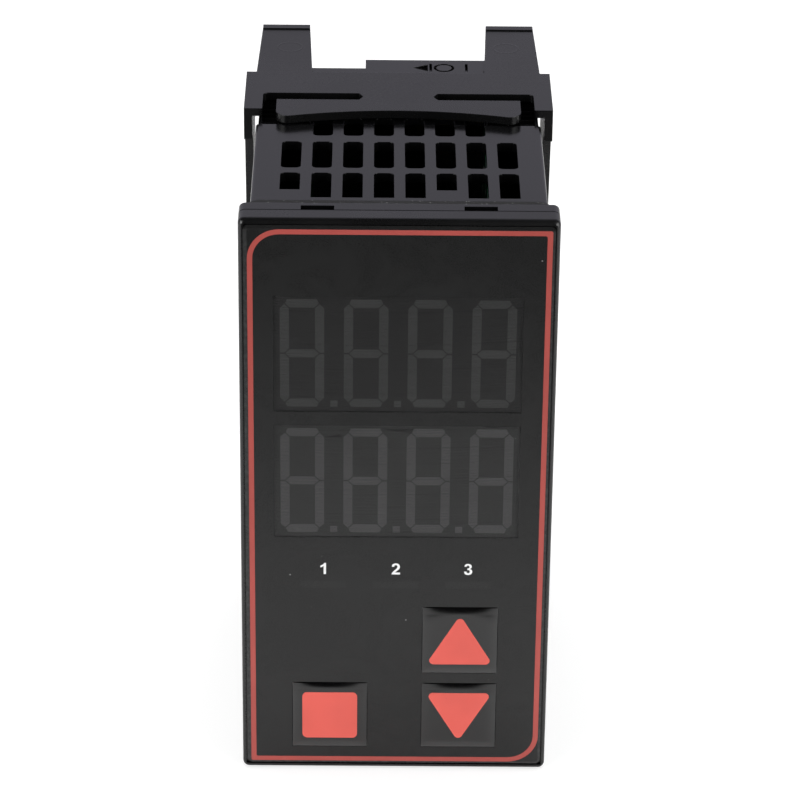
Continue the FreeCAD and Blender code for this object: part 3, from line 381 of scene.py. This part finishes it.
def board_green(name, flat):
    """Solder resist over copper: traces as a faint lighter web, with tinned pads.

    Flat has a 0 for the axis that runs through the board, so that both its faces match.
    """
    g = Graph(name)
    sheet = g.stretch(*flat)
    web = g.voronoi(TRACE_SCALE, "DISTANCE_TO_EDGE", sheet)
    trace = g.ramp(web.outputs["Distance"], 0.04, 0.09, 1.0, 0.0)
    pad = g.ramp(g.voronoi(PAD_SCALE, "F1", sheet).outputs["Distance"], 0.13, 0.16, 1.0, 0.0)
    colour = g.mix(pad, g.mix(trace, RESIST_GREEN, TRACE_GREEN), PAD_TIN)
    height = g.math("ADD", g.math("MULTIPLY", trace, TRACE_HEIGHT), pad)
    rough = g.ramp(g.noise(700), NOISE_LOW, NOISE_HIGH, 0.22, 0.34)
    g.surface(colour, rough, g.bump(height, 3e-5, 0.7))
    return g.material


paint("front_board", board_green("front_board_green", (1.0, 0.0, 1.0)))
for name in ("processor_board", "power_board"):
    paint(name, board_green(f"{name}_green", (0.0, 1.0, 1.0)))

switch_black = plastic("switch_black", grey(0.02), 0.4)
for key in KEYS:
    paint(f"switch_housing_{key}", switch_black)
    paint(f"switch_plunger_{key}", plastic(f"plunger_{key}_look", grey(0.03), 0.35))
for side in SIDES:
    paint(f"board_header_{side}", plastic(f"header_{side}_look", grey(0.02), 0.45))
for index in (1, 2, 3):
    paint(f"output_relay_{index}", plastic(f"relay_{index}_look", grey(0.02), 0.32))
paint("transformer_core", plastic("ferrite_grey", grey(0.045), 0.6, grain=2600, height=1.5e-5))
WINDING_YELLOW = (0.62, 0.42, 0.06, 1)
SLEEVE_BLUE = (0.012, 0.014, 0.03, 1)
paint("transformer_winding", plastic("winding_tape_yellow", WINDING_YELLOW, 0.35, grain=900, height=1e-5))
for name in ("bulk", "filter"):
    paint(f"{name}_capacitor", plastic(f"{name}_sleeve", SLEEVE_BLUE, 0.25))
for name in ("processor", "converter"):
    paint(f"{name}_chip", plastic(f"{name}_epoxy", grey(0.018), 0.5, grain=3600, height=8e-6))

# Greys of the film: inside the border line, outside it, painted shade outside it at the top, and over the
# lamps
FILM_GREY = 0.0062
FILM_MARGIN_GREY = 0.026
FILM_TOP_SHADE_GREYS = (0.001, 0.006)
LAMP_GREY = 0.0105
LAMP_WIDTH = 7.1 * MM
LAMP_PITCH = 11.25 * MM
LAMP_BELOW_LENS = 0.16 * MM
LAMP_UNDER_TOP = 0.07 * MM
TOP_SHADE_HALF = 0.2 * MM
# What one face of the smoked film lets through, and what it mirrors face on
SMOKE = 0.65
SMOKE_MIRROR = 0.04
LINT_GREY = 0.30
LINT_COVER = 0.75


def smoked_film():
    """Printed film: black, paler outside the border line and over the lamps, with painted shade along the
    margin's top, and smoked over the displays.
    """
    g = Graph("printed_film")
    clear = []
    for level in LEVELS:
        low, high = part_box(f"display_{level}_housing")
        clear.append(g.math("MULTIPLY", g.window("X", low.x, high.x), g.window("Z", low.z, high.z)))
    clear = g.highest(clear)

    low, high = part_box("indicator_lenses")
    middle_x = (low.x + high.x) / 2
    lamps = []
    for index in (-1, 0, 1):
        centre = middle_x + index * LAMP_PITCH
        lamps.append(g.window("X", centre - LAMP_WIDTH / 2, centre + LAMP_WIDTH / 2))
    lamp_rows = g.window("Z", low.z - LAMP_BELOW_LENS, high.z - LAMP_UNDER_TOP)
    lamps = g.math("MULTIPLY", g.highest(lamps), lamp_rows)

    low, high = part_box("border_line")
    inside = g.math("MULTIPLY", g.window("X", low.x, high.x), g.window("Z", low.z, high.z))
    # Painted shade: the margin outside the border line turns darker towards its top edge, below the bezel's
    # lip
    top = g.ramp(g.axis("Z"), high.z - TOP_SHADE_HALF, high.z + TOP_SHADE_HALF)
    fine = g.noise(7500, 3.0, 0.65)
    cloud = g.noise(95, 3.0, 0.6, distortion=0.8)
    mottle = g.noise(1400, 2.0)
    ink = g.mix(g.ramp(cloud, 0.35, NOISE_HIGH), grey(FILM_GREY * 0.9), grey(FILM_GREY * 1.25))
    ink = g.mix(lamps, ink, grey(LAMP_GREY))
    margin = g.mix(g.ramp(mottle, 0.35, 0.75), grey(FILM_MARGIN_GREY * 0.6), grey(FILM_MARGIN_GREY * 1.4))
    margin = g.mix(top, margin, g.mix(mottle, grey(FILM_TOP_SHADE_GREYS[0]), grey(FILM_TOP_SHADE_GREYS[1])))
    lint = g.math("MAXIMUM", specks(g, 330, 0.035, 0.055), specks(g, 610, 0.02, 0.09))
    colour = g.mix(g.math("MULTIPLY", lint, LINT_COVER), g.mix(inside, margin, ink), grey(LINT_GREY))
    gloss_grain = g.ramp(fine, NOISE_LOW, NOISE_HIGH, 0.25, 0.30)
    rough = g.math("ADD", gloss_grain, g.ramp(cloud, 0.35, NOISE_HIGH, 0.0, 0.03))
    printed = g.surface(colour, rough, g.bump(fine, 1.2e-6), specular=0.5)

    smoke = g.add("ShaderNodeBsdfTransparent")
    smoke.inputs["Color"].default_value = grey(SMOKE)
    gloss = g.add("ShaderNodeBsdfGlossy")
    g.feed(gloss.inputs["Roughness"], rough)
    facing = g.add("ShaderNodeLayerWeight")
    facing.inputs["Blend"].default_value = 0.5
    grazing = g.math("POWER", facing.outputs["Facing"], 5.0)
    mirrored = g.math("MULTIPLY_ADD", grazing, 1.0 - SMOKE_MIRROR, SMOKE_MIRROR)
    see = g.shader_mix(mirrored, smoke.outputs[0], gloss.outputs[0])
    open_share = g.math("MULTIPLY", clear, g.math("SUBTRACT", 1.0, lint))
    g.link(g.shader_mix(open_share, printed.outputs[0], see), g.output.inputs["Surface"])
    return g.material


paint("front_film", smoked_film())
# Each display's greys: its face, and its bars and points
for level, face, bars in (("upper", 0.036, 0.112), ("lower", 0.066, 0.175)):
    paint(f"display_{level}_housing", plastic(f"display_{level}_face_grey", grey(face), 0.5, mottling=0.05))
    paint(f"display_{level}_segments", plastic(f"display_{level}_bar_grey", grey(bars), 0.5, mottling=0.05))
paint("indicator_lenses", plastic("lamp_lens_grey", grey(0.10), 0.45))
paint("indicator_lamps", plastic("lamp_package_pale", (0.72, 0.70, 0.62, 1), 0.4))


def red_ink(name, colour, roughness):
    """Printed red ink, a little uneven and with a few fine dark specks."""
    g = Graph(name)
    fine = g.noise(6500, 3.0, 0.65)
    cloud = g.noise(120, 2.0, 0.5)
    tone = g.mix(g.ramp(cloud, NOISE_LOW, NOISE_HIGH), shade(colour, 0.95), shade(colour, 1.05))
    speck = specks(g, 1100, 0.02, 0.12)
    tone = g.mix(g.math("MULTIPLY", speck, 0.35), tone, shade(colour, 0.5))
    rough = g.ramp(fine, NOISE_LOW, NOISE_HIGH, roughness - 0.04, roughness + 0.04)
    g.surface(tone, rough, g.bump(fine, 1.5e-6))
    return g.material


paint("border_line", red_ink("border_red", (0.375, 0.064, 0.053, 1), 0.38))
key_red = red_ink("key_red", (0.66, 0.098, 0.076, 1), 0.38)
key_black = plastic("key_black", grey(0.018, 1.03), 0.34, grain=7000, height=1.5e-6, mottling=0.05)
for key in KEYS:
    paint(f"key_symbol_{key}", key_red)
    paint(f"key_pad_{key}", key_black)

# ---------------------------------------------------------------------------------------------
# Pieces of the front: the film swells over each key, and a number is printed over each lamp

FILM_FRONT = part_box("front_film")[0].y
lens_low, lens_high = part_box("indicator_lenses")

# The swell's reach from the key's middle, to each side, up and down
SWELL_HALF_WIDTH = 5.96 * MM
SWELL_TOP = {"up": 6.02 * MM, "down": 5.86 * MM, "set": 5.9 * MM}
SWELL_BOTTOM = 6.05 * MM
# The share of the reach at which the film starts to fall at the top
SWELL_EDGE = {"up": 0.78, "down": 0.745, "set": 0.80}
SWELL_FALL = 1.6
# Powers of the falls: at the bottom, at the sides, and at the sides where the top falls
SWELL_SQUARE = 9
SWELL_BOW = 2.5
SWELL_BOW_START = 0.55
SWELL_BOW_LENGTH = 0.24
SWELL_SKIN = 0.08 * MM
SWELL_BEHIND_SYMBOL = 0.01 * MM
SWELL_BEFORE_FILM = 0.003 * MM
SWELL_STEPS = 64
# Greys of painted light on the key film: a painted reflection on its side and lower slopes, painted shade on
# its upper slope
PAINTED_REFLECTION_GREY = 0.028
SHADED_GREY = 0.0004


def slope_painted_light(g, tone, fine):
    """Painted light by slope: a paler painted reflection where the film faces sideways or down beside and
    under the key, and painted shade where it faces up above it.
    """
    slope = g.add("ShaderNodeSeparateXYZ")
    g.link(g.add("ShaderNodeTexCoord").outputs["Normal"], slope.inputs[0])
    side = g.ramp(g.math("ABSOLUTE", slope.outputs["X"]), 0.01, 0.16)
    under = g.ramp(g.math("MULTIPLY", slope.outputs["Z"], -1.0), 0.01, 0.16)
    above = g.ramp(slope.outputs["Z"], 0.05, 0.2)
    tone = g.mix(g.math("MULTIPLY", side, 0.2), tone, grey(PAINTED_REFLECTION_GREY))
    tone = g.mix(g.math("MULTIPLY", under, 0.8), tone, grey(PAINTED_REFLECTION_GREY))
    return g.mix(above, tone, grey(SHADED_GREY)), fine


key_film = plastic(
    "key_film_black",
    grey(0.003, 1.02),
    0.2,
    grain=7500,
    height=1e-6,
    mottling=0.05,
    specular=0.78,
    extra=slope_painted_light,
)


def swell_share(key, u, v):
    """How far the film stands out at a place over the key, as a share of the full swell."""
    past = max(0.0, (abs(v) - SWELL_EDGE[key]) / (1 - SWELL_EDGE[key]))
    fall = 1 - past ** SWELL_FALL if v > 0 else 1 - abs(v) ** SWELL_SQUARE
    bowed = min(1.0, max(0.0, (v - SWELL_BOW_START) / SWELL_BOW_LENGTH))
    return (1 - abs(u) ** (SWELL_SQUARE - (SWELL_SQUARE - SWELL_BOW) * bowed)) * fall


def swell(key):
    """The film over a key: flat under the printed symbol and falling to the sheet around it."""
    low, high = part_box(f"key_pad_{key}")
    symbol_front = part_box(f"key_symbol_{key}")[0].y
    middle_x = (low.x + high.x) / 2
    middle_z = (low.z + high.z) / 2
    lift = FILM_FRONT - symbol_front - SWELL_BEHIND_SYMBOL
    mesh = bpy.data.meshes.new(f"key_film_{key}")
    shell = bmesh.new()
    sheets = []
    for skin in (0.0, SWELL_SKIN):
        rows = []
        for i in range(SWELL_STEPS + 1):
            v = 2 * i / SWELL_STEPS - 1
            reach = SWELL_TOP[key] if v > 0 else SWELL_BOTTOM
            row = []
            for j in range(SWELL_STEPS + 1):
                u = 2 * j / SWELL_STEPS - 1
                rim = i in (0, SWELL_STEPS) or j in (0, SWELL_STEPS)
                if skin and rim:
                    row.append(sheets[0][i][j])
                    continue
                y = FILM_FRONT - SWELL_BEFORE_FILM - swell_share(key, u, v) * (lift - skin)
                row.append(shell.verts.new((middle_x + u * SWELL_HALF_WIDTH, y, middle_z + v * reach)))
            rows.append(row)
        sheets.append(rows)
    for front, rows in zip((True, False), sheets):
        for i in range(SWELL_STEPS):
            for j in range(SWELL_STEPS):
                corners = (rows[i][j], rows[i][j + 1], rows[i + 1][j + 1], rows[i + 1][j])
                shell.faces.new(corners if front else corners[::-1]).smooth = True
    shell.to_mesh(mesh)
    shell.free()
    piece = bpy.data.objects.new(f"key_film_{key}", mesh)
    bpy.context.scene.collection.objects.link(piece)
    mesh.materials.append(key_film)
    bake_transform(piece)
    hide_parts(f"key_pad_{key}")


for key in KEYS:
    swell(key)

NUMBER_HEIGHT = 1.98 * MM
NUMBER_RISE = 2.75 * MM
NUMBER_BEFORE_FILM = 0.004 * MM
# Each digit's outline in shares of its height, from the bottom left corner
NUMBERS = {
    "1": (
        (0.44, 0.0), (0.44, 1.0), (0.29, 1.0), (0.25, 0.92), (0.16, 0.84), (0.08, 0.79), (0.0, 0.76),
        (0.0, 0.585), (0.08, 0.615), (0.17, 0.665), (0.25, 0.725), (0.25, 0.0),
    ),
    "2": (
        (0.0, 0.0), (0.675, 0.0), (0.675, 0.178), (0.285, 0.178), (0.36, 0.25), (0.48, 0.36), (0.6, 0.48),
        (0.655, 0.6), (0.665, 0.7), (0.645, 0.82), (0.58, 0.92), (0.47, 0.985), (0.34, 1.0), (0.21, 0.985),
        (0.11, 0.93), (0.05, 0.85), (0.02, 0.7), (0.21, 0.685), (0.225, 0.76), (0.26, 0.82), (0.335, 0.845),
        (0.41, 0.825), (0.46, 0.77), (0.47, 0.69), (0.45, 0.61), (0.4, 0.53), (0.3, 0.43), (0.16, 0.3),
        (0.06, 0.17), (0.02, 0.08),
    ),
    "3": (
        (0.0, 0.29), (0.03, 0.15), (0.09, 0.065), (0.19, 0.01), (0.31, -0.01), (0.43, 0.01), (0.54, 0.065),
        (0.615, 0.16), (0.645, 0.28), (0.64, 0.35), (0.6, 0.44), (0.53, 0.505), (0.455, 0.53), (0.52, 0.57),
        (0.575, 0.64), (0.6, 0.73), (0.595, 0.82), (0.54, 0.91), (0.44, 0.98), (0.3, 1.0), (0.19, 0.985),
        (0.105, 0.94), (0.045, 0.86), (0.015, 0.755), (0.18, 0.73), (0.195, 0.785), (0.235, 0.83),
        (0.295, 0.85), (0.345, 0.84), (0.39, 0.8), (0.415, 0.735), (0.415, 0.68), (0.385, 0.625),
        (0.33, 0.595), (0.265, 0.59), (0.245, 0.435), (0.33, 0.45), (0.39, 0.43), (0.435, 0.38),
        (0.45, 0.305), (0.435, 0.23), (0.385, 0.175), (0.31, 0.155), (0.245, 0.175), (0.2, 0.23),
        (0.185, 0.31),
    ),
}
number_white = plastic("number_white", grey(0.80), 0.4, grain=7000, height=1e-6, mottling=0.04)


def number(index, text, outline):
    """A printed digit on the film, over its lamp."""
    left = min(x for x, z in outline)
    right = max(x for x, z in outline)
    middle_x = (lens_low.x + lens_high.x) / 2 + (index - 1) * LAMP_PITCH
    bottom = (lens_low.z + lens_high.z) / 2 + NUMBER_RISE - NUMBER_HEIGHT / 2
    shell = bmesh.new()
    corners = [
        shell.verts.new(
            (
                middle_x + (x - (left + right) / 2) * NUMBER_HEIGHT,
                FILM_FRONT - NUMBER_BEFORE_FILM,
                bottom + z * NUMBER_HEIGHT,
            )
        )
        for x, z in outline
    ]
    face = shell.faces.new(corners)
    face.normal_update()
    if face.normal.y > 0:
        face.normal_flip()
    bmesh.ops.triangulate(shell, faces=[face])
    mesh = bpy.data.meshes.new(f"number_{text}")
    shell.to_mesh(mesh)
    shell.free()
    piece = bpy.data.objects.new(f"number_{text}", mesh)
    bpy.context.scene.collection.objects.link(piece)
    mesh.materials.append(number_white)
    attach(piece, "chassis")


for index, (text, outline) in enumerate(NUMBERS.items()):
    number(index, text, outline)

# ---------------------------------------------------------------------------------------------
# Floor, light and camera

floor_z = cad_box[0][2]
FLOOR_SIZE = 3.0
FLOOR_DROP = 0.2 * MM
# Mirrored in the film, the floor is dark far in front of the object and pale near it
FLOOR_DARK_Y = -0.25
FLOOR_PALE_Y = -0.01
FLOOR_DARK = 0.05
FLOOR_PALE = 0.80
# The camera sees a nearly white floor that still takes the object's faint shadow
SEEN_GLOW = 0.62
SEEN_PAPER = 0.5
mesh = bpy.data.meshes.new("floor")
plane = bmesh.new()
bmesh.ops.create_grid(plane, x_segments=1, y_segments=1, size=FLOOR_SIZE)
plane.to_mesh(mesh)
plane.free()
floor = bpy.data.objects.new("floor", mesh)
floor.location = (0, 0, floor_z - FLOOR_DROP)
bpy.context.scene.collection.objects.link(floor)


def backdrop(tree, camera_shader, other_shader, output):
    """The camera sees one shader and every other ray the other."""
    path = tree.nodes.new("ShaderNodeLightPath")
    choice = tree.nodes.new("ShaderNodeMixShader")
    tree.links.new(path.outputs["Is Camera Ray"], choice.inputs[0])
    tree.links.new(other_shader, choice.inputs[1])
    tree.links.new(camera_shader, choice.inputs[2])
    tree.links.new(choice.outputs[0], output)


g = Graph("pale_floor")
tone = g.mix(g.ramp(g.axis("Y"), FLOOR_DARK_Y, FLOOR_PALE_Y), grey(FLOOR_DARK), grey(FLOOR_PALE))
shell = g.surface(tone, 0.6, specular=0.2)
glow = g.add("ShaderNodeEmission")
glow.inputs["Color"].default_value = (1, 1, 1, 1)
glow.inputs["Strength"].default_value = SEEN_GLOW
paper = g.add("ShaderNodeBsdfDiffuse")
paper.inputs["Color"].default_value = grey(SEEN_PAPER)
pale = g.add("ShaderNodeAddShader")
g.link(glow.outputs[0], pale.inputs[0])
g.link(paper.outputs[0], pale.inputs[1])
backdrop(g.tree, pale.outputs[0], shell.outputs[0], g.output.inputs["Surface"])
mesh.materials.append(g.material)

# The wall behind the object, which its top faces mirror, and the even light for everything else
WALL_COLOUR = (1.0, 0.975, 1.12, 1)
WALL_START_Y = 0.25
WALL_FULL_Y = 0.8
WALL_DARK = 0.012
WALL_PALE = 0.51
FILL_COLOUR = (0.8, 0.8, 0.8, 1)
FILL = 0.30
world = bpy.data.worlds.new("studio")
bpy.context.scene.world = world
world.use_nodes = True
tree = world.node_tree
tree.nodes.clear()


def background(colour, strength):
    node = tree.nodes.new("ShaderNodeBackground")
    node.inputs["Color"].default_value = colour
    node.inputs["Strength"].default_value = strength
    return node


coords = tree.nodes.new("ShaderNodeTexCoord")
split = tree.nodes.new("ShaderNodeSeparateXYZ")
tree.links.new(coords.outputs["Generated"], split.inputs[0])
height = tree.nodes.new("ShaderNodeMapRange")
height.interpolation_type = "SMOOTHSTEP"
tree.links.new(split.outputs["Y"], height.inputs["Value"])
height.inputs["From Min"].default_value = WALL_START_Y
height.inputs["From Max"].default_value = WALL_FULL_Y
height.inputs["To Min"].default_value = WALL_DARK
height.inputs["To Max"].default_value = WALL_PALE
wall = background(WALL_COLOUR, WALL_PALE)
tree.links.new(height.outputs["Result"], wall.inputs["Strength"])
fill = background(FILL_COLOUR, FILL)
blank = background((1, 1, 1, 1), 1.0)
kinds = tree.nodes.new("ShaderNodeLightPath")
seen = tree.nodes.new("ShaderNodeMixShader")
tree.links.new(kinds.outputs["Is Glossy Ray"], seen.inputs[0])
tree.links.new(fill.outputs[0], seen.inputs[1])
tree.links.new(wall.outputs[0], seen.inputs[2])
out = tree.nodes.new("ShaderNodeOutputWorld")
backdrop(tree, blank.outputs[0], seen.outputs[0], out.inputs["Surface"])


# The place that every light is aimed at
LIGHT_AIM = Vector((0, 0.02, 0.0))
# Name, place, width, height, power, and whether glossy faces mirror it
SOFTBOXES = (
    ("left_panel", (-0.75, -0.45, 0.22), 0.6, 0.7, 7.4, True),
    ("right_panel", (0.75, -0.45, 0.22), 0.6, 0.7, 7.4, True),
    ("overhead", (0.0, 0.25, 0.9), 0.9, 0.7, 7.0, False),
    ("left_strip", (-0.80, 0.04, 0.42), 0.3, 0.2, 0.5, True),
    ("right_strip", (0.80, 0.04, 0.42), 0.3, 0.2, 0.5, True),
)


def softbox(name, place, width, height, power, mirrored):
    """A rectangular area light aimed at the middle of the object."""
    light = bpy.data.lights.new(name, "AREA")
    light.shape = "RECTANGLE"
    light.size = width
    light.size_y = height
    light.energy = power
    lamp = bpy.data.objects.new(name, light)
    lamp.location = place
    aim = LIGHT_AIM - Vector(place)
    lamp.rotation_euler = aim.to_track_quat("-Z", "Y").to_euler()
    lamp.visible_glossy = mirrored
    bpy.context.scene.collection.objects.link(lamp)


for row in SOFTBOXES:
    softbox(*row)

# The main view's camera
CAMERA_PLACE = Vector((-3.9255, -521.6838, 283.0791)) * MM
CAMERA_ANGLES = (62.73984, -0.55960, -0.19043)
camera_data = bpy.data.cameras.new("camera")
camera_data.sensor_fit = "HORIZONTAL"
camera_data.sensor_width = 36.0
camera_data.lens = 171.764
camera_data.clip_start = 0.01
camera = bpy.data.objects.new("camera", camera_data)
camera.location = CAMERA_PLACE
camera.rotation_euler = Euler([math.radians(angle) for angle in CAMERA_ANGLES], "XYZ")
bpy.context.scene.collection.objects.link(camera)
bpy.context.scene.camera = camera
bpy.context.scene.view_settings.view_transform = "Standard"
bpy.context.scene.view_settings.look = "None"
